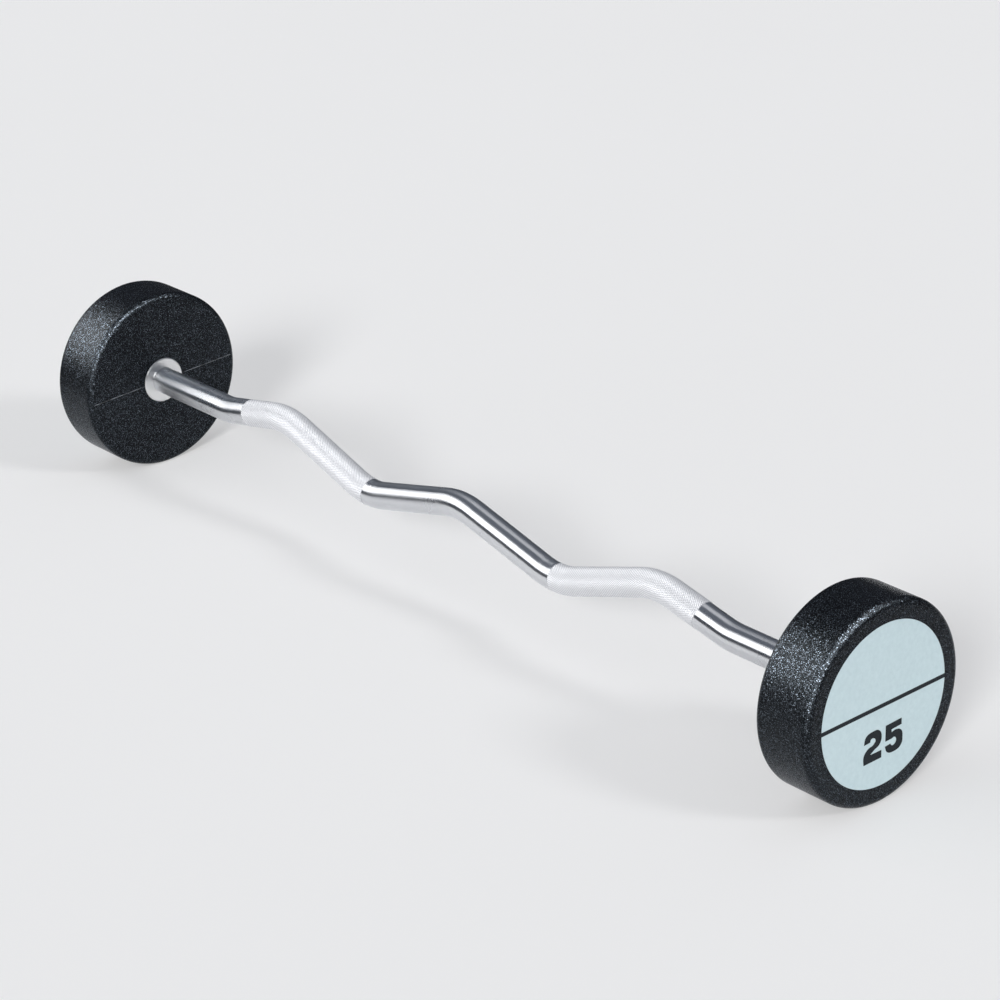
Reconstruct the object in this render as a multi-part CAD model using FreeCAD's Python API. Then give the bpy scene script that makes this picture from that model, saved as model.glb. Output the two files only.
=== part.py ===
import FreeCAD
import Part
import math
import os

# Fixed-head EZ curl barbell: a bent steel shaft with a urethane-jacketed weight bolted on each end.
# Frame: the origin is the middle of the shaft's axis, +X runs along the shaft, +Z is up.
# The shaft's bends lie in the XZ plane. All lengths are in millimetres.

# Whole barbell
OVERALL_LENGTH = 1112.0  # from one outer end face to the other

# Shaft: its runs are measured along X between the bends' corners, and are the same on both halves
SHAFT_DIA = 28.0
BEND_RADIUS = 82.0  # of the centre line, in every bend
CENTRE_RUN = 142.0  # from the middle of the shaft to each valley
GRIP_RUN = 134.0  # from a valley to the peak outside it
OUTER_RUN = 97.0  # from that peak to the straight end of the shaft
CENTRE_RISE = 11.6  # of the middle peak, above the straight ends
VALLEY_DROP = 24.6  # of the valleys, below the straight ends
PEAK_RISE = 20.4  # of the outer peaks, above the straight ends
SHOULDER_STEP = 1.5  # radial step from the shaft down to its spigot
SPIGOT_CHAMFER = 1.0
SPIGOT_RECESS = 1.0  # the spigot ends short of the retaining washer, so that the washer clamps the core
TAP_RUN_OUT = 3.0  # tapped depth past the bolt's tip

# Head
HEAD_DIA = 194.0
HEAD_THICKNESS = 61.0
INNER_EDGE_RADIUS = 6.0
OUTER_EDGE_RADIUS = 7.0
JACKET_RIM_WALL = 6.0
JACKET_INNER_WALL = 5.5
FACE_RIM_WIDTH = 19.0  # urethane between the end plate and the head's outside

# Weight core inside the jacket
CORE_CHAMFER = 4.0
KEYING_GROOVE_WIDTH = 14.0  # the jacket grips this groove round the core's rim
KEYING_GROOVE_DEPTH = 4.0

# Inner flange, between the shaft's shoulder and the core
FLANGE_LEDGE = 10.5  # radial width of the flange round the shaft
FLANGE_STAND_OUT = 1.0  # past the jacket's inner face
FLANGE_CHAMFER = 0.8
SHAFT_SEAT_DEPTH = 3.0  # how far the full shaft enters the flange

# Drive key, between the spigot and the core
KEY_WIDTH = 6.0
KEY_HEIGHT = 6.0
KEY_SEAT_DEPTH = 3.5
KEY_END_MARGIN = 5.0  # from each end of the key to the core's inner face and to the spigot's end

# End bolt with its two washers
BOLT_DIA = 12.0
BOLT_LENGTH = 35.0
BOLT_HEAD_DIA = 18.0
BOLT_HEAD_HEIGHT = 12.0
BOLT_HEAD_CHAMFER = 1.0
HEX_SOCKET_SIZE = 10.0  # across the flats
HEX_SIDES = 6
HEX_SOCKET_DEPTH = 6.0
LOCK_WASHER_THICKNESS = 2.5
LOCK_WASHER_SPLIT = 1.2
LOCK_WASHER_SPLIT_TILT = 20.0  # degrees
RETAINING_WASHER_DIA = 40.0
RETAINING_WASHER_THICKNESS = 5.0
RETAINING_WASHER_CHAMFER = 0.8
BOLT_HEADROOM = 1.0  # between the bolt's head and the end plate

# End plate with its two inlays
PLATE_THICKNESS = 3.5
INLAY_THICKNESS = 1.5
DIVIDER_WIDTH = 4.0

# Fits
SEAT_CLEARANCE = 0.05  # radial or sideways, between pieces that slide together tightly
LOOSE_CLEARANCE = 0.5  # radial, round the bolt and the retaining washer
TRIM_CLEARANCE = 0.1  # round the end plate, the inlays and the flange
CUT_OVERRUN = 5.0

# Places along X on the right-hand head, worked out from the sizes above
END_FACE_X = OVERALL_LENGTH / 2
INNER_FACE_X = END_FACE_X - HEAD_THICKNESS
CORE_INNER_X = INNER_FACE_X + JACKET_INNER_WALL
CORE_OUTER_X = END_FACE_X - PLATE_THICKNESS
FLANGE_INNER_X = INNER_FACE_X - FLANGE_STAND_OUT
SHOULDER_X = FLANGE_INNER_X + SHAFT_SEAT_DEPTH
BOLT_HEAD_TOP_X = CORE_OUTER_X - BOLT_HEADROOM
BOLT_SEAT_X = BOLT_HEAD_TOP_X - BOLT_HEAD_HEIGHT
LOCK_WASHER_SEAT_X = BOLT_SEAT_X - LOCK_WASHER_THICKNESS
POCKET_FLOOR_X = LOCK_WASHER_SEAT_X - RETAINING_WASHER_THICKNESS
SPIGOT_END_X = POCKET_FLOOR_X - SPIGOT_RECESS
BOLT_TIP_X = BOLT_SEAT_X - BOLT_LENGTH
KEY_START_X = CORE_INNER_X + KEY_END_MARGIN
KEY_END_X = SPIGOT_END_X - KEY_END_MARGIN

# Radii worked out from the sizes above
SHAFT_RADIUS = SHAFT_DIA / 2
SPIGOT_RADIUS = SHAFT_RADIUS - SHOULDER_STEP
FLANGE_RADIUS = SHAFT_RADIUS + FLANGE_LEDGE
HEAD_RADIUS = HEAD_DIA / 2
CORE_RADIUS = HEAD_RADIUS - JACKET_RIM_WALL
RECESS_RADIUS = HEAD_RADIUS - FACE_RIM_WIDTH
PLATE_RADIUS = RECESS_RADIUS - TRIM_CLEARANCE
BOLT_RADIUS = BOLT_DIA / 2
WASHER_RADIUS = RETAINING_WASHER_DIA / 2
KEY_FLOOR_Z = SPIGOT_RADIUS - KEY_SEAT_DEPTH

ORIGIN = FreeCAD.Vector(0, 0, 0)
X_AXIS = FreeCAD.Vector(1, 0, 0)
Z_AXIS = FreeCAD.Vector(0, 0, 1)


def at(x, z, y=0):
    """A point of the shaft's XZ plane, or beside it."""
    return FreeCAD.Vector(x, y, z)


def line(start, end):
    return Part.LineSegment(start, end).toShape()


def arc(start, middle, end):
    return Part.Arc(start, middle, end).toShape()


def cylinder(radius, x_start, x_end):
    """A round bar along X."""
    return Part.makeCylinder(radius, x_end - x_start, at(x_start, 0), X_AXIS)


def block(x_start, x_end, width, z_start, z_end):
    """A box along X, centred on the XZ plane."""
    return Part.makeBox(x_end - x_start, width, z_end - z_start, at(x_start, z_start, -width / 2))


def revolved(profile):
    """A solid of revolution about the X axis from points (x, radius)."""
    points = [at(x, radius) for x, radius in profile]
    return Part.Face(Part.makePolygon(points + points[:1])).revolve(ORIGIN, X_AXIS, 360)


def chamfered_disc(radius, x_start, x_end, chamfer):
    """A disc along X with both rims chamfered."""
    return revolved(
        [
            (x_start, 0),
            (x_start, radius - chamfer),
            (x_start + chamfer, radius),
            (x_end - chamfer, radius),
            (x_end, radius - chamfer),
            (x_end, 0),
        ]
    )


def rounded_path(corners, radius):
    """Edges of straight runs through the corners, with a tangent arc of one radius at each bend."""
    edges = []
    start = corners[0]
    for before, corner, after in zip(corners, corners[1:], corners[2:]):
        back = (before - corner).normalize()
        ahead = (after - corner).normalize()
        half_turn = (math.pi - back.getAngle(ahead)) / 2
        tangent = radius * math.tan(half_turn)
        inward = (back + ahead).normalize()
        arc_start = corner + back * tangent
        arc_middle = corner + inward * (radius / math.cos(half_turn) - radius)
        arc_end = corner + ahead * tangent
        edges.append(line(start, arc_start))
        edges.append(arc(arc_start, arc_middle, arc_end))
        start = arc_end
    edges.append(line(start, corners[-1]))
    return edges


def shaft_corners():
    """The centre line's corners from the left-hand shoulder to the right-hand one."""
    right = [
        at(CENTRE_RUN, -VALLEY_DROP),
        at(CENTRE_RUN + GRIP_RUN, PEAK_RISE),
        at(CENTRE_RUN + GRIP_RUN + OUTER_RUN, 0),
        at(SHOULDER_X, 0),
    ]
    left = [at(-corner.x, corner.z) for corner in reversed(right)]
    return left + [at(0, CENTRE_RISE)] + right


def key_block(height):
    """The round-ended form of the drive key, up from the floor of its seat in the spigot."""
    half_width = KEY_WIDTH / 2
    near = KEY_START_X + half_width
    far = KEY_END_X - half_width
    z = KEY_FLOOR_Z
    edges = [
        line(at(near, z, -half_width), at(far, z, -half_width)),
        arc(at(far, z, -half_width), at(KEY_END_X, z), at(far, z, half_width)),
        line(at(far, z, half_width), at(near, z, half_width)),
        arc(at(near, z, half_width), at(KEY_START_X, z), at(near, z, -half_width)),
    ]
    return Part.Face(Part.Wire(edges)).extrude(Z_AXIS * height)


def spigot():
    """The turned end of the shaft on the right-hand side."""
    return revolved(
        [
            (SHOULDER_X, 0),
            (SHOULDER_X, SPIGOT_RADIUS),
            (SPIGOT_END_X - SPIGOT_CHAMFER, SPIGOT_RADIUS),
            (SPIGOT_END_X, SPIGOT_RADIUS - SPIGOT_CHAMFER),
            (SPIGOT_END_X, 0),
        ]
    )


def spigot_cuts():
    """The tapped hole and the key seat of the spigot."""
    hole_radius = BOLT_RADIUS + SEAT_CLEARANCE
    tapped_hole = cylinder(hole_radius, BOLT_TIP_X - TAP_RUN_OUT, SPIGOT_END_X + CUT_OVERRUN)
    return [tapped_hole, key_block(KEY_SEAT_DEPTH + CUT_OVERRUN)]


def on_left(shape):
    """A right-hand piece turned about +Z to its place on the left-hand head."""
    turned = shape.copy()
    turned.rotate(ORIGIN, Z_AXIS, 180)
    return turned


def curl_bar():
    path = Part.Wire(rounded_path(shaft_corners(), BEND_RADIUS))
    section = Part.Wire(Part.makeCircle(SHAFT_RADIUS, at(-SHOULDER_X, 0), X_AXIS))
    shaft = path.makePipeShell([section], True, False)
    shaft = shaft.fuse([spigot(), on_left(spigot())])
    right_cuts = spigot_cuts()
    left_cuts = [on_left(cut) for cut in right_cuts]
    return shaft.cut(right_cuts + left_cuts).removeSplitter()


def inner_flange():
    ring = chamfered_disc(FLANGE_RADIUS, FLANGE_INNER_X, CORE_INNER_X, FLANGE_CHAMFER)
    shaft_seat = cylinder(SHAFT_RADIUS + SEAT_CLEARANCE, FLANGE_INNER_X - CUT_OVERRUN, SHOULDER_X)
    bore = cylinder(SPIGOT_RADIUS + SEAT_CLEARANCE, FLANGE_INNER_X, CORE_INNER_X + CUT_OVERRUN)
    return ring.cut([shaft_seat, bore])


def core_blank():
    """The core's outside, with the groove that keys the jacket to its rim."""
    middle = (CORE_INNER_X + CORE_OUTER_X) / 2
    half_groove = KEYING_GROOVE_WIDTH / 2
    half_floor = half_groove - KEYING_GROOVE_DEPTH
    return revolved(
        [
            (CORE_INNER_X, 0),
            (CORE_INNER_X, CORE_RADIUS - CORE_CHAMFER),
            (CORE_INNER_X + CORE_CHAMFER, CORE_RADIUS),
            (middle - half_groove, CORE_RADIUS),
            (middle - half_floor, CORE_RADIUS - KEYING_GROOVE_DEPTH),
            (middle + half_floor, CORE_RADIUS - KEYING_GROOVE_DEPTH),
            (middle + half_groove, CORE_RADIUS),
            (CORE_OUTER_X - CORE_CHAMFER, CORE_RADIUS),
            (CORE_OUTER_X, CORE_RADIUS - CORE_CHAMFER),
            (CORE_OUTER_X, 0),
        ]
    )


def weight_core():
    bore = cylinder(SPIGOT_RADIUS + SEAT_CLEARANCE, CORE_INNER_X - CUT_OVERRUN, CORE_OUTER_X)
    pocket = cylinder(WASHER_RADIUS + LOOSE_CLEARANCE, POCKET_FLOOR_X, CORE_OUTER_X + CUT_OVERRUN)
    keyway = block(
        CORE_INNER_X - CUT_OVERRUN,
        CORE_OUTER_X,
        KEY_WIDTH + 2 * SEAT_CLEARANCE,
        0,
        KEY_FLOOR_Z + KEY_HEIGHT + SEAT_CLEARANCE,
    )
    return core_blank().cut([bore, pocket, keyway])


def head_envelope():
    """The head's outside: a short drum with a rounded edge at each face."""

    def edge_arc(face_x, edge_radius, outward):
        """The rounded edge's start on the face, its middle and its end on the rim."""
        centre_x = face_x - outward * edge_radius
        centre_r = HEAD_RADIUS - edge_radius
        slant = edge_radius * math.sqrt(0.5)
        on_face = at(face_x, centre_r)
        on_rim = at(centre_x, HEAD_RADIUS)
        return on_face, at(centre_x + outward * slant, centre_r + slant), on_rim

    inner_start, inner_middle, inner_end = edge_arc(INNER_FACE_X, INNER_EDGE_RADIUS, -1)
    outer_start, outer_middle, outer_end = edge_arc(END_FACE_X, OUTER_EDGE_RADIUS, 1)
    edges = [
        line(at(INNER_FACE_X, 0), inner_start),
        arc(inner_start, inner_middle, inner_end),
        line(inner_end, outer_end),
        arc(outer_end, outer_middle, outer_start),
        line(outer_start, at(END_FACE_X, 0)),
        line(at(END_FACE_X, 0), at(INNER_FACE_X, 0)),
    ]
    return Part.Face(Part.Wire(edges)).revolve(ORIGIN, X_AXIS, 360)


def urethane_jacket():
    flange_hole = cylinder(FLANGE_RADIUS + TRIM_CLEARANCE, INNER_FACE_X - CUT_OVERRUN, CORE_OUTER_X)
    plate_recess = cylinder(RECESS_RADIUS, CORE_OUTER_X, END_FACE_X + CUT_OVERRUN)
    return head_envelope().cut([core_blank(), flange_hole, plate_recess])


def drive_key():
    return key_block(KEY_HEIGHT)


def end_bolt():
    screw = revolved(
        [
            (BOLT_TIP_X, 0),
            (BOLT_TIP_X, BOLT_RADIUS - BOLT_HEAD_CHAMFER),
            (BOLT_TIP_X + BOLT_HEAD_CHAMFER, BOLT_RADIUS),
            (BOLT_SEAT_X, BOLT_RADIUS),
            (BOLT_SEAT_X, BOLT_HEAD_DIA / 2),
            (BOLT_HEAD_TOP_X - BOLT_HEAD_CHAMFER, BOLT_HEAD_DIA / 2),
            (BOLT_HEAD_TOP_X, BOLT_HEAD_DIA / 2 - BOLT_HEAD_CHAMFER),
            (BOLT_HEAD_TOP_X, 0),
        ]
    )
    corner_radius = HEX_SOCKET_SIZE / 2 / math.cos(math.pi / HEX_SIDES)
    floor_x = BOLT_HEAD_TOP_X - HEX_SOCKET_DEPTH
    corners = []
    for number in range(HEX_SIDES + 1):
        angle = 2 * math.pi * number / HEX_SIDES
        corners.append(at(floor_x, corner_radius * math.sin(angle), corner_radius * math.cos(angle)))
    socket = Part.Face(Part.makePolygon(corners)).extrude(X_AXIS * (HEX_SOCKET_DEPTH + CUT_OVERRUN))
    return screw.cut(socket)


def retaining_washer():
    disc = chamfered_disc(WASHER_RADIUS, POCKET_FLOOR_X, LOCK_WASHER_SEAT_X, RETAINING_WASHER_CHAMFER)
    hole_radius = BOLT_RADIUS + LOOSE_CLEARANCE
    return disc.cut(cylinder(hole_radius, POCKET_FLOOR_X - CUT_OVERRUN, CORE_OUTER_X))


def lock_washer():
    """A split spring washer, tightened flat, with its slit aslant."""
    ring = cylinder(BOLT_HEAD_DIA / 2, LOCK_WASHER_SEAT_X, BOLT_SEAT_X)
    cut_start, cut_end = LOCK_WASHER_SEAT_X - CUT_OVERRUN, BOLT_SEAT_X + CUT_OVERRUN
    hole = cylinder(BOLT_RADIUS + SEAT_CLEARANCE, cut_start, cut_end)
    slit = block(cut_start, cut_end, LOCK_WASHER_SPLIT, 0, BOLT_HEAD_DIA)
    slit.rotate(at((LOCK_WASHER_SEAT_X + BOLT_SEAT_X) / 2, 0), Z_AXIS, LOCK_WASHER_SPLIT_TILT)
    return ring.cut([hole, slit])


def half_moon(chord_z, radius, x_start, x_end):
    """A segment of a disc along X: above its chord, or under it where the chord is below the axis."""
    half_chord = math.sqrt(radius**2 - chord_z**2)
    crown_z = math.copysign(radius, chord_z)
    near, far = at(x_start, chord_z, -half_chord), at(x_start, chord_z, half_chord)
    edges = [line(near, far), arc(far, at(x_start, crown_z), near)]
    return Part.Face(Part.Wire(edges)).extrude(X_AXIS * (x_end - x_start))


def end_plate():
    """The black backing disc, whose divider stands up between the two inlays."""
    disc = cylinder(PLATE_RADIUS, CORE_OUTER_X, END_FACE_X)
    floor_x = END_FACE_X - INLAY_THICKNESS
    cut_radius = PLATE_RADIUS + CUT_OVERRUN
    pockets = [
        half_moon(sign * DIVIDER_WIDTH / 2, cut_radius, floor_x, END_FACE_X + CUT_OVERRUN)
        for sign in (1, -1)
    ]
    return disc.cut(pockets)


def inlay(sign):
    """The pale plate above the divider, or below it where sign is -1."""
    chord_z = sign * (DIVIDER_WIDTH / 2 + TRIM_CLEARANCE)
    return half_moon(chord_z, PLATE_RADIUS, END_FACE_X - INLAY_THICKNESS, END_FACE_X)


def build():
    """Every node by name. The left-hand head's pieces are the right-hand ones turned about +Z."""
    right_hand = {
        "inner_flange": inner_flange(),
        "weight_core": weight_core(),
        "urethane_jacket": urethane_jacket(),
        "drive_key": drive_key(),
        "end_bolt": end_bolt(),
        "retaining_washer": retaining_washer(),
        "lock_washer": lock_washer(),
        "end_plate": end_plate(),
        "upper_inlay": inlay(1),
        "lower_inlay": inlay(-1),
    }
    nodes = {"curl_bar": curl_bar()}
    for name, shape in right_hand.items():
        nodes["right_" + name] = shape
        nodes["left_" + name] = on_left(shape)
    return nodes


def main():
    os.makedirs("parts", exist_ok=True)
    for name, shape in build().items():
        shape.exportStep(os.path.join("parts", name + ".step"))
        print(name, "valid" if shape.isValid() and len(shape.Solids) == 1 else "not one valid solid")


main()
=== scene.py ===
import math

import bmesh
import bpy
from mathutils import Matrix, Vector


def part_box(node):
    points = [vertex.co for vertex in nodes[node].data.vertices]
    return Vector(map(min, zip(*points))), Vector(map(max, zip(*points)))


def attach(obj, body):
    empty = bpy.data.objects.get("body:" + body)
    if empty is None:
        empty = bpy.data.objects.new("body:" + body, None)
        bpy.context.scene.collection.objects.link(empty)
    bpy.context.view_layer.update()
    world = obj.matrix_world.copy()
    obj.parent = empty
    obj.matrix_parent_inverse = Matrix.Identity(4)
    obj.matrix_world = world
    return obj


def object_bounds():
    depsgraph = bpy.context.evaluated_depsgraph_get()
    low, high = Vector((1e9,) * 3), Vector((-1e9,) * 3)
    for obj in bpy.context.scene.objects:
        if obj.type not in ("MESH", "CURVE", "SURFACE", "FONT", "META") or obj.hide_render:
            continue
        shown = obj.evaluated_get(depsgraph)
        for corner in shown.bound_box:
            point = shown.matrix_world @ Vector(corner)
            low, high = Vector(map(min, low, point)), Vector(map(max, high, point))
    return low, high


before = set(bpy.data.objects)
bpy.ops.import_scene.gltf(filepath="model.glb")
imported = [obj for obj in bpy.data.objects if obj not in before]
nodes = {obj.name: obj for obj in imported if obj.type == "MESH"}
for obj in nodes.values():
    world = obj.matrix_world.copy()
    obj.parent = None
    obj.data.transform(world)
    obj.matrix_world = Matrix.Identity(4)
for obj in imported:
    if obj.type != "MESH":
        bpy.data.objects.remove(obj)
cad_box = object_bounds()
MM = 0.001

# The left-hand half of the barbell is the right-hand half turned about the upright axis, so x and y change sign
MIRROR = {"left": -1, "right": 1}

# Shaft: the centre line's corners on the right-hand half, as (x, z), and its bends
SHAFT_RADIUS = (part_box("curl_bar")[1].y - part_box("curl_bar")[0].y) / 2
BEND_RADIUS = 82 * MM
CENTRE_CORNER = (0.0, 11.6 * MM)
RIGHT_CORNERS = [(142 * MM, -24.6 * MM), (276 * MM, 20.4 * MM), (373 * MM, 0.0), (497 * MM, 0.0)]

# Knurled grips: places along the centre line from the shaft's middle, and the diamonds
GRIP_START = 143 * MM
GRIP_END = 347 * MM
DIAMOND_LENGTH = 3.2 * MM
DIAMONDS_ROUND = 44
CREST_HEIGHT = 0.45 * MM
ROOT_HEIGHT = 0.06 * MM
INNER_ROW_STEP = 8

# Plating on the shaft between the flanges. The depth is that of the plating's and the knurls' inside, in the shaft.
PLATING_THICKNESS = 0.03 * MM
PLATING_STEP = 4 * MM
PLATING_SIDES = 72
PLATING_INSET = 2.5 * MM
SLEEVE_DEPTH = 0.3 * MM

# Heads
HEAD_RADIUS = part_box("right_urethane_jacket")[1].z
END_FACE_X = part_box("right_urethane_jacket")[1].x
INNER_FACE_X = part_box("right_urethane_jacket")[0].x
FLANGE_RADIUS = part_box("right_inner_flange")[1].z
EDGE_RADIUS = 6 * MM

# Weight number on each lower inlay. The drop is from the head's axis to the middle of the digits.
DIGIT_WIDTH = 22.5 * MM
DIGIT_HEIGHT = 29.4 * MM
DIGIT_GAP = 4.4 * MM
DIGIT_DROP = 35.8 * MM
DIGIT_THICKNESS = 0.12 * MM
DIGIT_SINK = 0.05 * MM
DIGIT_CURVE_STEPS = 8
DIGIT_WELD = DIGIT_SINK / 10

# Mould lines on each inner face
MOULD_LINE_TURN = math.radians(-2.2)
MOULD_LINE_START = FLANGE_RADIUS + 1 * MM
MOULD_LINE_END = HEAD_RADIUS - EDGE_RADIUS
MOULD_LINE_WIDTH = 0.9 * MM
MOULD_LINE_HEIGHT = 0.35 * MM

# Urethane: its pebbles, the share of them that glint, and how far their facets tilt
URETHANE_BLACK = (0.003, 0.0036, 0.0045)
PEBBLES_PER_METRE = 1900.0
GLINT_SHARE = 0.21
FACET_TILT = 0.4

# Most values of a noise texture lie in this range
NOISE_RANGE = (0.3, 0.7)

# Camera, fitted to the photograph
CAMERA_PLACE = Vector((2.1667, -1.8099, 1.2946))
CAMERA_TARGET = Vector((0.0213, 0.0327, 0.0111))
CAMERA_ROLL = math.radians(-1.894)
CAMERA_LENS = 114.17
CAMERA_SENSOR = 36
CAMERA_RANGE = 100

# Floor and backdrop. Gloss sees the floor fade out past its reach from the part's middle.
FLOOR_HEIGHT = cad_box[0].z
FLOOR_HALF_SIZE = 30.0
FLOOR_GLOW_SHARE = 0.35
FLOOR_GLOW_IN_GLOSS = 0.05
FLOOR_REACH = 0.73
FLOOR_FADE = 0.3
BACKDROP_RADIUS = 25.0
BACKDROP_HEIGHT = 9.0
BACKDROP_SIDES = 48
STAGE_GRAIN = 0.8

# Softboxes: the finish that each one lights, its centre, the direction of its first side, its two sides, its radiance
SOFTBOXES = {
    "chrome_softbox": ("polished", (-1.064, -1.33, 1.15), (0.8215, -0.555, 0.1316), (3.45, 1.3), 2.0),
    "overhead_softbox": ("polished", (-0.45, 1.044, 2.734), (-0.649, 0.645, -0.403), (1.02, 1.81), 0.9),
    "satin_softbox": ("satin", (-0.55, -1.45, 1.51), (0.855, -0.41, 0.312), (2.6, 1.16), 5.6),
    "rim_softbox": ("rubber", (-1.064, -1.36, 1.10), (0.828, -0.542, 0.144), (3.45, 1.3), 8.3),
    "edge_softbox": ("rubber", (1.55, -0.45, 1.2), (-0.1, 0.95, 0.35), (4.2, 2.2), 12.0),
}

# Lamps: the direction from the part, the irradiance, and the spread in degrees
LAMPS = {
    "front_lamp": ((1.0, -1.7, 1.0), 2.1, 16),
    "right_lamp": ((1.4, 0.52, 1.0), 0.85, 12),
    "left_fill": ((-0.66, -0.52, 0.55), 0.6, 70),
    "top_fill": ((0.0, 0.0, 1.0), 0.45, 140),
}


def in_scene(name, data):
    """A new object in the scene, from a mesh, a curve, a light or a camera."""
    thing = bpy.data.objects.new(name, data)
    bpy.context.scene.collection.objects.link(thing)
    return thing


def add(tree, kind, **inputs):
    """A shader node whose sockets are set by name, with _ for a space."""
    node = tree.nodes.new("ShaderNode" + kind)
    for name, value in inputs.items():
        node.inputs[name.replace("_", " ")].default_value = value
    return node


def new_material(name, metallic, roughness, color):
    """A material with its tree, its shader, and object coordinates in metres."""
    material = bpy.data.materials.new(name)
    material.use_nodes = True
    tree = material.node_tree
    shader = tree.nodes["Principled BSDF"]
    shader.inputs["Metallic"].default_value = metallic
    shader.inputs["Roughness"].default_value = roughness
    shader.inputs["Base Color"].default_value = (*color, 1)
    place = add(tree, "TexCoord").outputs["Object"]
    return material, tree, shader, place


def noise(tree, place, scale, detail=2.0):
    node = add(tree, "TexNoise", Scale=scale, Detail=detail)
    tree.links.new(place, node.inputs["Vector"])
    return node.outputs["Fac"]


def ramp(tree, value, span, low, high):
    """A colour that goes from low to high while the value crosses its span."""
    node = add(tree, "ValToRGB")
    for element, position, color in zip(node.color_ramp.elements, span, (low, high)):
        element.position = position
        element.color = (*color, 1)
    tree.links.new(value, node.inputs["Fac"])
    return node.outputs["Color"]


def remap(tree, value, old, new):
    """A number carried over from an old range to a new one, each as (low, high)."""
    node = add(tree, "MapRange", From_Min=old[0], From_Max=old[1], To_Min=new[0], To_Max=new[1])
    tree.links.new(value, node.inputs["Value"])
    return node.outputs["Result"]


def bump(tree, height, distance, strength=1.0, below=None):
    """A bumped normal, on top of the normal below it if there is one."""
    node = add(tree, "Bump", Strength=strength, Distance=distance)
    tree.links.new(height, node.inputs["Height"])
    if below is not None:
        tree.links.new(below, node.inputs["Normal"])
    return node.outputs["Normal"]


def vector_math(tree, operation, first, second=None):
    """A vector operation on a socket and, if it takes two values, a socket or a constant."""
    node = add(tree, "VectorMath")
    node.operation = operation
    tree.links.new(first, node.inputs[0])
    if operation == "SCALE":
        node.inputs["Scale"].default_value = second
    elif isinstance(second, tuple):
        node.inputs[1].default_value = second
    elif second is not None:
        tree.links.new(second, node.inputs[1])
    return node.outputs["Value" if operation == "LENGTH" else "Vector"]


def join(tree, operation, first, second):
    """One number from two sockets."""
    node = add(tree, "Math")
    node.operation = operation
    tree.links.new(first, node.inputs[0])
    tree.links.new(second, node.inputs[1])
    return node.outputs["Value"]


def urethane():
    """Moulded black urethane with a fine pebbled grain, in which single facets glint."""
    material, tree, shader, place = new_material("urethane", metallic=0, roughness=0.2, color=URETHANE_BLACK)
    shader.inputs["Specular IOR Level"].default_value = 0.1
    shader.inputs["Specular Tint"].default_value = (0.76, 0.88, 1.0, 1)
    pebbles = add(tree, "TexVoronoi", Scale=PEBBLES_PER_METRE)
    tree.links.new(place, pebbles.inputs["Vector"])
    draw = add(tree, "TexWhiteNoise")
    tree.links.new(pebbles.outputs["Position"], draw.inputs["Vector"])
    glint = remap(tree, draw.outputs["Value"], (1.0 - GLINT_SHARE, 1.0), (0.0, 1.0))
    tint = ramp(tree, glint, (0.0, 1.0), URETHANE_BLACK, (0.145, 0.168, 0.196))
    tree.links.new(tint, shader.inputs["Base Color"])
    tree.links.new(glint, shader.inputs["Metallic"])
    gloss = remap(tree, noise(tree, place, scale=1500.0, detail=3.0), NOISE_RANGE, (0.15, 0.28))
    tree.links.new(gloss, shader.inputs["Roughness"])
    tilt = vector_math(tree, "SUBTRACT", pebbles.outputs["Color"], (0.5, 0.5, 0.5))
    tilt = vector_math(tree, "SCALE", tilt, FACET_TILT)
    facet = vector_math(tree, "ADD", tilt, add(tree, "NewGeometry").outputs["Normal"])
    facet = vector_math(tree, "NORMALIZE", facet)
    pebbled = bump(tree, pebbles.outputs["Distance"], distance=0.1 * MM, strength=0.5, below=facet)
    tree.links.new(pebbled, shader.inputs["Normal"])
    return material


def painted_highlight_urethane():
    """The mould line's bead, painted paler than the face round it in blotches: a painted highlight of the light it
    catches.
    """
    color = (0.08, 0.088, 0.1)
    material, tree, shader, place = new_material("painted_highlight_urethane", metallic=0, roughness=0.4, color=color)
    blotches = noise(tree, place, scale=110.0, detail=4.0)
    # Painted highlight: the bead is painted pale in blotches, for the light that its edge catches
    tint = ramp(tree, blotches, (0.42, 0.62), (0.008, 0.009, 0.011), (0.10, 0.11, 0.125))
    tree.links.new(tint, shader.inputs["Base Color"])
    tree.links.new(remap(tree, blotches, NOISE_RANGE, (0.35, 0.5)), shader.inputs["Roughness"])
    return material


def chrome(name, ground):
    """Hard chrome with faint waviness. Grinding round the shaft blurs what it mirrors along the shaft."""
    color = (0.82, 0.83, 0.85)
    material, tree, shader, place = new_material(name, metallic=1, roughness=0.28, color=color)
    blotches = noise(tree, place, scale=40.0)
    tint = ramp(tree, blotches, (0.35, 0.65), (0.80, 0.81, 0.83), (0.84, 0.85, 0.87))
    tree.links.new(tint, shader.inputs["Base Color"])
    tree.links.new(remap(tree, blotches, NOISE_RANGE, (0.27, 0.29)), shader.inputs["Roughness"])
    rings = vector_math(tree, "MULTIPLY", place, (2000.0, 60.0, 60.0))
    waves = noise(tree, rings, scale=1.0, detail=1.0)
    tree.links.new(bump(tree, waves, distance=0.002 * MM, strength=0.5), shader.inputs["Normal"])
    if ground:
        shader.inputs["Anisotropic"].default_value = 1.0
        lengthwise = add(tree, "Tangent")
        lengthwise.direction_type = "UV_MAP"
        lengthwise.uv_map = "lengthwise"
        tree.links.new(lengthwise.outputs["Tangent"], shader.inputs["Tangent"])
    return material


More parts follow.
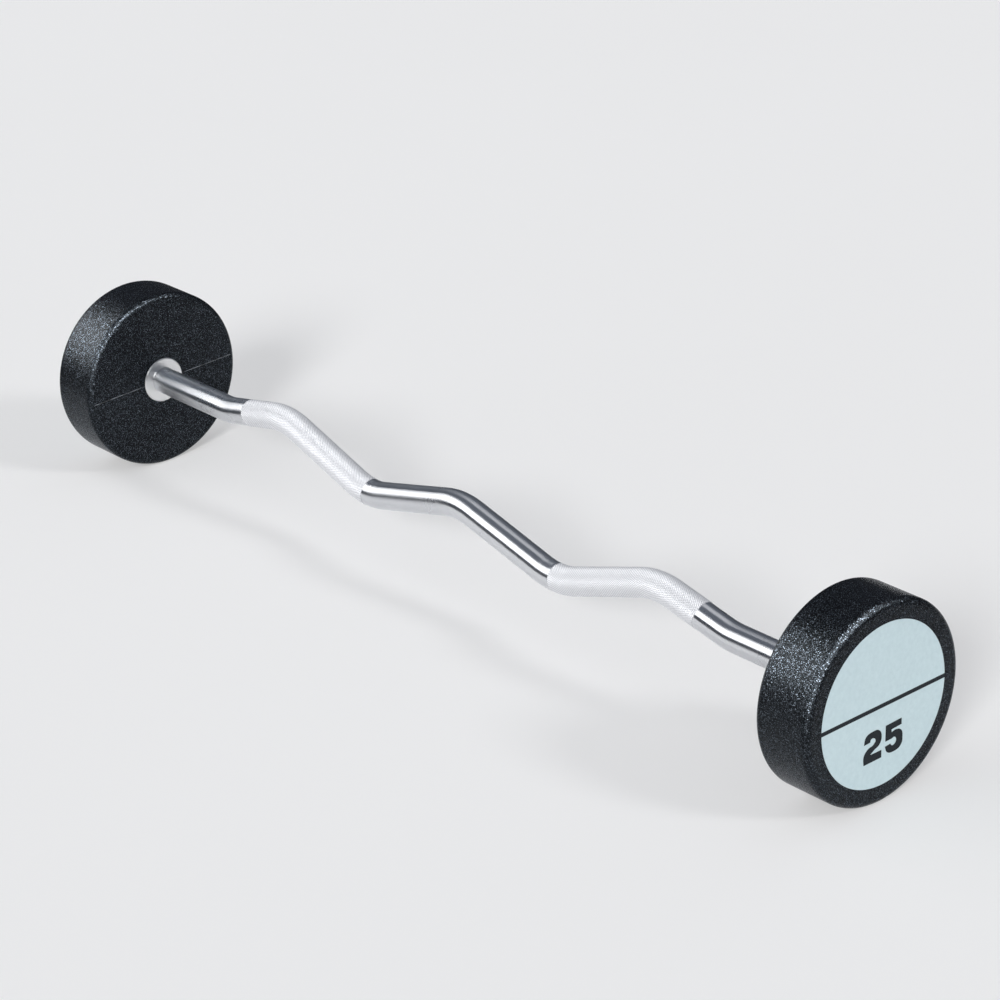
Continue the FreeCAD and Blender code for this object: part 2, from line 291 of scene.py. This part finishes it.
def knurled_chrome():
    """The diamond knurl: bright points, with painted shade darkening the grooves."""
    color = (0.9, 0.9, 0.92)
    material, tree, shader, place = new_material("knurled_chrome", metallic=0.5, roughness=0.5, color=color)
    depth = add(tree, "Attribute")
    depth.attribute_name = "crest"
    # Painted shade: the base colour darkens from the crests down into the grooves
    tint = ramp(tree, depth.outputs["Fac"], (0.0, 0.6), (0.55, 0.56, 0.58), (0.91, 0.91, 0.93))
    tree.links.new(tint, shader.inputs["Base Color"])
    gloss = remap(tree, noise(tree, place, scale=700.0, detail=3.0), NOISE_RANGE, (0.5, 0.65))
    tree.links.new(gloss, shader.inputs["Roughness"])
    return material


def turned_steel():
    """Satin steel with fine rings from the lathe, about the shaft's axis."""
    color = (0.86, 0.86, 0.85)
    material, tree, shader, place = new_material("turned_steel", metallic=1, roughness=0.34, color=color)
    rings = add(tree, "TexWave", Scale=260.0, Distortion=1.5, Detail=3.0, Detail_Scale=1.2)
    rings.wave_type = "RINGS"
    rings.rings_direction = "X"
    tree.links.new(place, rings.inputs["Vector"])
    tint = ramp(tree, rings.outputs["Fac"], (0.0, 1.0), (0.90, 0.90, 0.89), (0.97, 0.97, 0.96))
    tree.links.new(tint, shader.inputs["Base Color"])
    gloss = remap(tree, noise(tree, place, scale=300.0), NOISE_RANGE, (0.28, 0.4))
    tree.links.new(gloss, shader.inputs["Roughness"])
    turned = bump(tree, rings.outputs["Fac"], distance=0.02 * MM, strength=0.5)
    tree.links.new(turned, shader.inputs["Normal"])
    return material


def pale_inlay():
    """Pale blue-grey plate with a faint mottle."""
    color = (0.55, 0.67, 0.70)
    material, tree, shader, place = new_material("pale_inlay", metallic=0, roughness=0.42, color=color)
    mottle = noise(tree, place, scale=260.0, detail=5.0)
    tint = ramp(tree, mottle, NOISE_RANGE, (0.52, 0.645, 0.675), (0.575, 0.70, 0.728))
    tree.links.new(tint, shader.inputs["Base Color"])
    tree.links.new(remap(tree, mottle, NOISE_RANGE, (0.36, 0.5)), shader.inputs["Roughness"])
    grain = noise(tree, place, scale=900.0, detail=3.0)
    tree.links.new(bump(tree, grain, distance=0.04 * MM, strength=0.5), shader.inputs["Normal"])
    return material


def dark_plastic():
    """Satin black plastic with a fine grain, for the end plates and the numbers."""
    color = (0.012, 0.016, 0.020)
    material, tree, shader, place = new_material("dark_plastic", metallic=0, roughness=0.45, color=color)
    shader.inputs["Specular IOR Level"].default_value = 0.15
    grain = noise(tree, place, scale=900.0, detail=4.0)
    tint = ramp(tree, grain, NOISE_RANGE, (0.0096, 0.0128, 0.016), (0.015, 0.020, 0.025))
    tree.links.new(tint, shader.inputs["Base Color"])
    tree.links.new(remap(tree, grain, NOISE_RANGE, (0.38, 0.52)), shader.inputs["Roughness"])
    tree.links.new(bump(tree, grain, distance=0.06 * MM, strength=0.5), shader.inputs["Normal"])
    return material


def plain_metal(name, low, high, roughness):
    """Uncoated metal of the hidden pieces, mottled between two tones."""
    material, tree, shader, place = new_material(name, metallic=1, roughness=roughness, color=low)
    mottle = noise(tree, place, scale=220.0, detail=5.0)
    tree.links.new(ramp(tree, mottle, NOISE_RANGE, low, high), shader.inputs["Base Color"])
    tree.links.new(bump(tree, mottle, distance=0.1 * MM, strength=0.4), shader.inputs["Normal"])
    return material


def dress(node, material):
    """Gives a CAD node its finish."""
    mesh = nodes[node].data
    mesh.materials.clear()
    mesh.materials.append(material)


def new_piece(name, points, faces, material, smooth=False):
    """A mesh piece in the part's frame that rides on the barbell's one body."""
    mesh = bpy.data.meshes.new(name)
    mesh.from_pydata(points, [], faces)
    mesh.validate()
    mesh.materials.append(material)
    mesh.polygons.foreach_set("use_smooth", [smooth] * len(mesh.polygons))
    piece = in_scene(name, mesh)
    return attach(piece, "root")


def walk(start, heading, curvature, distance):
    """The point (x, z) and the heading after a distance along a straight run or a bend."""
    if curvature == 0:
        return start + distance * Vector((math.cos(heading), math.sin(heading))), heading
    end = heading + curvature * distance
    swing = Vector((math.sin(end) - math.sin(heading), math.cos(heading) - math.cos(end)))
    return start + swing / curvature, end


def centre_line():
    """Runs and bends from the shaft's middle to its right-hand end, each as (length, start, heading, curvature)."""
    corners = [Vector(corner) for corner in [CENTRE_CORNER] + RIGHT_CORNERS]
    sides = [after - before for before, after in zip(corners, corners[1:])]
    headings = [math.atan2(side.y, side.x) for side in sides]
    # The line starts level at the middle of the centre bend, which lies below its corner
    crown = BEND_RADIUS / math.cos(headings[0]) - BEND_RADIUS
    place, heading = corners[0] - Vector((0.0, crown)), 0.0
    pieces = []
    for corner, new_heading in zip(corners, headings):
        turn = new_heading - heading
        if pieces:
            run = (corner - place).length - BEND_RADIUS * math.tan(abs(turn) / 2)
            pieces.append((run, place, heading, 0.0))
            place, heading = walk(place, heading, 0.0, run)
        bend, curvature = BEND_RADIUS * abs(turn), math.copysign(1 / BEND_RADIUS, turn)
        pieces.append((bend, place, heading, curvature))
        place, heading = walk(place, heading, curvature, bend)
    pieces.append(((corners[-1] - place).length, place, heading, 0.0))
    return pieces


def along(pieces, distance):
    """The centre line's point (x, z) and heading at a distance from the shaft's middle."""
    for length, start, heading, curvature in pieces:
        if distance <= length:
            break
        distance -= length
    return walk(start, heading, curvature, distance)


def ring(pieces, distance, heights, mirror):
    """Points round the shaft at a distance along it, one for each height over its surface."""
    centre, heading = along(pieces, distance)
    across = Vector((-math.sin(heading), 0.0, math.cos(heading)))
    points = []
    for number, height in enumerate(heights):
        angle = 2 * math.pi * number / len(heights)
        reach = SHAFT_RADIUS + height
        point = Vector((centre.x, 0.0, centre.y))
        point += reach * (math.cos(angle) * Vector((0.0, 1.0, 0.0)) + math.sin(angle) * across)
        points.append((mirror * point.x, mirror * point.y, point.z))
    return points


def chrome_plating(material):
    """The plating on the shaft between the flanges, as a thin closed tube, with a map that runs lengthwise."""
    pieces = centre_line()
    half_length = sum(length for length, *_ in pieces) - PLATING_INSET
    rows = 2 * round(half_length / PLATING_STEP)
    points, faces, marks = [], [], []
    for depth in (PLATING_THICKNESS, -SLEEVE_DEPTH):
        for row in range(rows + 1):
            distance = half_length * (2 * row / rows - 1)
            mirror = 1 if distance >= 0 else -1
            level = ring(pieces, abs(distance), [depth] * PLATING_SIDES, mirror)
            if mirror < 0:
                # A mirrored ring starts opposite and runs backwards, so it is put in the right-hand rings' order
                level = [level[(PLATING_SIDES // 2 - number) % PLATING_SIDES] for number in range(PLATING_SIDES)]
            points += level
            marks += [(row / rows, number / PLATING_SIDES) for number in range(PLATING_SIDES)]

    def corner(layer, row, side):
        return (layer * (rows + 1) + row) * PLATING_SIDES + side % PLATING_SIDES

    for side in range(PLATING_SIDES):
        for row in range(rows):
            for layer, order in ((0, 1), (1, -1)):
                face = (corner(layer, row, side), corner(layer, row, side + 1))
                face += (corner(layer, row + 1, side + 1), corner(layer, row + 1, side))
                faces.append(face[::order])
        for row, order in ((0, -1), (rows, 1)):
            face = (corner(0, row, side), corner(0, row, side + 1))
            face += (corner(1, row, side + 1), corner(1, row, side))
            faces.append(face[::order])
    plating = new_piece("shaft_chrome_plating", points, faces, material, smooth=True)
    chart = plating.data.uv_layers.new(name="lengthwise")
    for loop in plating.data.loops:
        chart.data[loop.index].uv = marks[loop.vertex_index]
    return plating


def knurl_sleeve(side, material):
    """A closed sleeve over one grip, its outside cut into pyramids by two sets of grooves."""
    pieces = centre_line()
    columns = 2 * DIAMONDS_ROUND
    rows = 2 * round((GRIP_END - GRIP_START) / DIAMOND_LENGTH)
    step = (GRIP_END - GRIP_START) / rows
    points, faces, crest = [], [], []
    for row in range(rows + 1):
        inside = 0 < row < rows
        up = [inside and (row + column) % 2 == 1 for column in range(columns)]
        heights = [CREST_HEIGHT if high else ROOT_HEIGHT for high in up]
        points += ring(pieces, GRIP_START + row * step, heights, MIRROR[side])
        crest += [1.0 if high else 0.0 for high in up]

    def outer(row, column):
        return row * columns + column % columns

    for row in range(rows + 1):
        for column in range((row + 1) % 2, columns, 2):
            middle, after, before = outer(row, column), outer(row, column + 1), outer(row, column - 1)
            if row < rows:
                faces.append((middle, after, outer(row + 1, column)))
                faces.append((middle, outer(row + 1, column), before))
            if row > 0:
                faces.append((middle, outer(row - 1, column), after))
                faces.append((middle, before, outer(row - 1, column)))
    inner_rows = list(range(0, rows, INNER_ROW_STEP)) + [rows]
    first_inner = len(points)
    for row in inner_rows:
        points += ring(pieces, GRIP_START + row * step, [-SLEEVE_DEPTH] * columns, MIRROR[side])
        crest += [0.0] * columns

    def inner(row, column):
        return first_inner + row * columns + column % columns

    last = len(inner_rows) - 1
    for column in range(columns):
        after = column + 1
        for row in range(last):
            faces.append((inner(row, column), inner(row + 1, column), inner(row + 1, after), inner(row, after)))
        faces.append((outer(0, column), inner(0, column), inner(0, after), outer(0, after)))
        faces.append((outer(rows, column), outer(rows, after), inner(last, after), inner(last, column)))
    sleeve = new_piece(side + "_grip_knurl", points, faces, material)
    sleeve.data.attributes.new("crest", "FLOAT", "POINT").data.foreach_set("value", crest)
    return sleeve


# Outlines of the numbers, as shares of their width and height. Corners are sharp, and the rest is curved.
CORNER, ROUND = "VECTOR", "AUTO"
TWO_SHARES = [
    (0.0, 0.0, CORNER),
    (1.0, 0.0, CORNER),
    (1.0, 0.25, CORNER),
    (0.36, 0.26, CORNER),
    (0.60, 0.37, ROUND),
    (0.87, 0.46, ROUND),
    (1.0, 0.68, ROUND),
    (0.87, 0.94, ROUND),
    (0.50, 1.0, ROUND),
    (0.12, 0.92, ROUND),
    (0.0, 0.67, CORNER),
    (0.35, 0.68, CORNER),
    (0.40, 0.765, ROUND),
    (0.53, 0.775, ROUND),
    (0.66, 0.67, ROUND),
    (0.56, 0.565, ROUND),
    (0.20, 0.475, ROUND),
    (0.0, 0.30, ROUND),
]
FIVE_SHARES = [
    (0.03, 0.98, CORNER),
    (0.93, 1.0, CORNER),
    (0.93, 0.79, CORNER),
    (0.36, 0.77, CORNER),
    (0.37, 0.67, CORNER),
    (0.60, 0.70, ROUND),
    (0.92, 0.60, ROUND),
    (1.0, 0.36, ROUND),
    (0.91, 0.10, ROUND),
    (0.52, 0.0, ROUND),
    (0.12, 0.08, ROUND),
    (0.0, 0.29, CORNER),
    (0.31, 0.31, CORNER),
    (0.38, 0.235, ROUND),
    (0.51, 0.225, ROUND),
    (0.64, 0.35, ROUND),
    (0.54, 0.475, ROUND),
    (0.36, 0.46, CORNER),
    (0.02, 0.455, CORNER),
]


def weight_number(side, name, shares, start_y, material):
    """One numeral as a thin plate on the lower inlay, read from outside the head."""
    curve = bpy.data.curves.new(side + "_number_" + name, "CURVE")
    curve.dimensions = "2D"
    curve.fill_mode = "BOTH"
    curve.resolution_u = DIGIT_CURVE_STEPS
    curve.extrude = (DIGIT_THICKNESS + DIGIT_SINK) / 2
    spline = curve.splines.new("BEZIER")
    spline.bezier_points.add(len(shares) - 1)
    spline.use_cyclic_u = True
    for point, (x, y, kind) in zip(spline.bezier_points, shares):
        point.co = (start_y + x * DIGIT_WIDTH, y * DIGIT_HEIGHT - DIGIT_HEIGHT / 2 - DIGIT_DROP, 0)
        point.handle_left_type = point.handle_right_type = kind
    flat = in_scene(curve.name, curve)
    mesh = bpy.data.meshes.new_from_object(flat.evaluated_get(bpy.context.evaluated_depsgraph_get()))
    bpy.data.objects.remove(flat)
    welded = bmesh.new()
    welded.from_mesh(mesh)
    bmesh.ops.remove_doubles(welded, verts=welded.verts, dist=DIGIT_WELD)
    welded.to_mesh(mesh)
    welded.free()
    # The curve's own x, y and thickness become the part's y, z and x, and the left-hand ones turn to the other end
    face_x = END_FACE_X + (DIGIT_THICKNESS - DIGIT_SINK) / 2
    stand = Matrix(((0, 0, 1, face_x), (1, 0, 0, 0), (0, 1, 0, 0), (0, 0, 0, 1)))
    turn = Matrix.Rotation(0 if side == "right" else math.pi, 4, "Z")
    mesh.transform(turn @ stand)
    mesh.materials.clear()
    mesh.materials.append(material)
    piece = in_scene(curve.name, mesh)
    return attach(piece, "root")


def mould_line(side, number, material):
    """A fine raised bead that the mould left on the inner face, from the flange out to the edge."""
    mirror = MIRROR[side]
    half = MOULD_LINE_WIDTH / 2
    section = [(-half, 0.0), (-half / 2, MOULD_LINE_HEIGHT), (half / 2, MOULD_LINE_HEIGHT), (half, 0.0)]
    direction = number * math.pi + MOULD_LINE_TURN
    outward = Vector((0.0, math.cos(direction), math.sin(direction)))
    across = Vector((0.0, -math.sin(direction), math.cos(direction)))
    points = []
    for reach in (MOULD_LINE_START, MOULD_LINE_END):
        for offset, height in section:
            point = outward * reach + across * offset
            points.append((mirror * (INNER_FACE_X - height), mirror * point.y, point.z))
    faces = [(0, 1, 5, 4), (1, 2, 6, 5), (2, 3, 7, 6), (3, 0, 4, 7), (3, 2, 1, 0), (4, 5, 6, 7)]
    piece = new_piece(f"{side}_mould_line_{number + 1}", points, faces, material)
    return piece


def build_floor():
    """A wide pale floor, light in its shadows. Gloss sees it end in the dark studio, as a table does."""
    size, height = FLOOR_HALF_SIZE, FLOOR_HEIGHT
    mesh = bpy.data.meshes.new("floor")
    corners = [(-size, -size, height), (size, -size, height), (size, size, height), (-size, size, height)]
    mesh.from_pydata(corners, [], [(0, 1, 2, 3)])
    floor = in_scene("floor", mesh)
    color = (0.905, 0.901, 0.898)
    material, tree, shader, place = new_material("floor", metallic=0, roughness=0.9, color=color)
    shader.inputs["Specular IOR Level"].default_value = 0.0
    path = add(tree, "LightPath")
    far = remap(tree, vector_math(tree, "LENGTH", place), (FLOOR_REACH, FLOOR_REACH + FLOOR_FADE), (0.0, 1.0))
    ended = join(tree, "MULTIPLY", far, path.outputs["Is Glossy Ray"])
    grain = noise(tree, place, scale=STAGE_GRAIN)
    pale = ramp(tree, grain, NOISE_RANGE, (0.90, 0.896, 0.893), (0.91, 0.906, 0.903))
    tint = add(tree, "MixRGB", Color2=(0.08, 0.08, 0.085, 1))
    tree.links.new(ended, tint.inputs["Fac"])
    tree.links.new(pale, tint.inputs["Color1"])
    tree.links.new(tint.outputs["Color"], shader.inputs["Base Color"])
    glow = add(tree, "Emission")
    tree.links.new(tint.outputs["Color"], glow.inputs["Color"])
    seen = join(tree, "MAXIMUM", path.outputs["Is Camera Ray"], path.outputs["Is Transmission Ray"])
    seen = remap(tree, seen, (0.0, 1.0), (0.0, FLOOR_GLOW_SHARE))
    mirrored = remap(tree, path.outputs["Is Glossy Ray"], (0.0, 1.0), (0.0, FLOOR_GLOW_IN_GLOSS))
    blend = add(tree, "MixShader")
    tree.links.new(join(tree, "MAXIMUM", seen, mirrored), blend.inputs["Fac"])
    tree.links.new(shader.outputs["BSDF"], blend.inputs[1])
    tree.links.new(glow.outputs["Emission"], blend.inputs[2])
    tree.links.new(blend.outputs["Shader"], tree.nodes["Material Output"].inputs["Surface"])
    mesh.materials.append(material)


def build_backdrop():
    """A pale wall far round the floor, for the camera alone, so that a low view has no dark sky."""
    points, faces = [], []
    for number in range(BACKDROP_SIDES):
        angle = 2 * math.pi * number / BACKDROP_SIDES
        x, y = BACKDROP_RADIUS * math.cos(angle), BACKDROP_RADIUS * math.sin(angle)
        points += [(x, y, FLOOR_HEIGHT), (x, y, FLOOR_HEIGHT + BACKDROP_HEIGHT)]
        after = (number + 1) % BACKDROP_SIDES
        faces.append((2 * number, 2 * number + 1, 2 * after + 1, 2 * after))
    mesh = bpy.data.meshes.new("backdrop")
    mesh.from_pydata(points, [], faces)
    wall = in_scene("backdrop", mesh)
    material, tree, _, place = new_material("backdrop", metallic=0, roughness=0.9, color=(0.81, 0.81, 0.825))
    glow = add(tree, "Emission")
    grain = noise(tree, place, scale=STAGE_GRAIN)
    pale = ramp(tree, grain, NOISE_RANGE, (0.805, 0.805, 0.82), (0.815, 0.815, 0.83))
    tree.links.new(pale, glow.inputs["Color"])
    tree.links.new(glow.outputs["Emission"], tree.nodes["Material Output"].inputs["Surface"])
    mesh.materials.append(material)
    wall.visible_diffuse = wall.visible_glossy = wall.visible_shadow = False


def area_light(name, centre, first_side, size, radiance, receivers):
    """A softbox that faces the part's middle, as bright as its radiance, which only the receivers' gloss mirrors."""
    back = Vector(centre).normalized()
    across = back.cross(Vector(first_side)).normalized()
    lengthwise = across.cross(back)
    light = bpy.data.lights.new(name, "AREA")
    light.shape = "RECTANGLE"
    light.size, light.size_y = size
    light.energy = radiance * math.pi * size[0] * size[1]
    lamp = in_scene(name, light)
    lamp.matrix_world = Matrix.Translation(centre) @ Matrix((lengthwise, across, back)).transposed().to_4x4()
    lamp.visible_camera = lamp.visible_diffuse = False
    lamp.light_linking.receiver_collection = receivers


def sun_light(name, towards, irradiance, spread):
    """A far soft lamp in a direction from the part, as wide as its spread in degrees, which gloss doesn't mirror."""
    light = bpy.data.lights.new(name, "SUN")
    light.energy = irradiance
    light.angle = math.radians(spread)
    lamp = in_scene(name, light)
    lamp.rotation_euler = Vector(towards).to_track_quat("Z", "Y").to_euler()
    lamp.visible_glossy = False


def build_lights(finishes):
    """The softboxes, each for one finish, and the lamps."""
    for name, (finish, centre, first_side, size, radiance) in SOFTBOXES.items():
        area_light(name, centre, first_side, size, radiance, finishes[finish])
    for name, (towards, irradiance, spread) in LAMPS.items():
        sun_light(name, towards, irradiance, spread)


def build_world():
    """A dark studio, a little lighter overhead."""
    world = bpy.data.worlds.new("studio")
    bpy.context.scene.world = world
    world.use_nodes = True
    tree = world.node_tree
    parts = add(tree, "SeparateXYZ")
    tree.links.new(add(tree, "TexCoord").outputs["Generated"], parts.inputs["Vector"])
    dark = ramp(tree, parts.outputs["Z"], (0.1, 0.7), (0.056, 0.063, 0.077), (0.14, 0.155, 0.185))
    tree.links.new(dark, tree.nodes["Background"].inputs["Color"])


def build_camera():
    """The photograph's view."""
    camera = bpy.data.cameras.new("camera")
    camera.sensor_width = CAMERA_SENSOR
    camera.lens = CAMERA_LENS
    camera.clip_end = CAMERA_RANGE
    holder = in_scene("camera", camera)
    aim = (CAMERA_TARGET - CAMERA_PLACE).to_track_quat("-Z", "Y").to_matrix().to_4x4()
    holder.matrix_world = Matrix.Translation(CAMERA_PLACE) @ aim @ Matrix.Rotation(CAMERA_ROLL, 4, "Z")
    bpy.context.scene.camera = holder


def build_object():
    """Dresses the CAD nodes and adds the pieces. Gives a collection for each finish, for the softboxes to light."""
    finishes = {name: bpy.data.collections.new(name) for name in ("polished", "satin", "rubber")}
    polished, satin, rubber = finishes.values()
    dress("curl_bar", chrome("chrome", ground=False))
    polished.objects.link(nodes["curl_bar"])
    polished.objects.link(chrome_plating(chrome("ground_chrome", ground=True)))
    knurl, painted_highlight_bead, inlay, plastic = knurled_chrome(), painted_highlight_urethane(), pale_inlay(), dark_plastic()
    iron = plain_metal("cast_iron", (0.10, 0.10, 0.11), (0.18, 0.18, 0.19), roughness=0.6)
    zinc = plain_metal("plated_steel", (0.55, 0.55, 0.56), (0.68, 0.68, 0.69), roughness=0.35)
    coats = {
        "inner_flange": (turned_steel(), [satin, polished]),
        "weight_core": (iron, [satin]),
        "urethane_jacket": (urethane(), [rubber]),
        "drive_key": (zinc, [satin]),
        "end_bolt": (zinc, [satin]),
        "retaining_washer": (zinc, [satin]),
        "lock_washer": (zinc, [satin]),
        "end_plate": (plastic, [satin]),
        "upper_inlay": (inlay, [satin]),
        "lower_inlay": (inlay, [satin]),
    }
    for side in MIRROR:
        for name, (material, groups) in coats.items():
            dress(f"{side}_{name}", material)
            for group in groups:
                group.objects.link(nodes[f"{side}_{name}"])
        satin.objects.link(knurl_sleeve(side, knurl))
        satin.objects.link(weight_number(side, "two", TWO_SHARES, -DIGIT_GAP / 2 - DIGIT_WIDTH, plastic))
        satin.objects.link(weight_number(side, "five", FIVE_SHARES, DIGIT_GAP / 2, plastic))
        for number in range(2):
            rubber.objects.link(mould_line(side, number, painted_highlight_bead))
    return finishes


finishes = build_object()
build_floor()
build_backdrop()
build_lights(finishes)
build_world()
build_camera()
bpy.context.scene.view_settings.view_transform = "Standard"
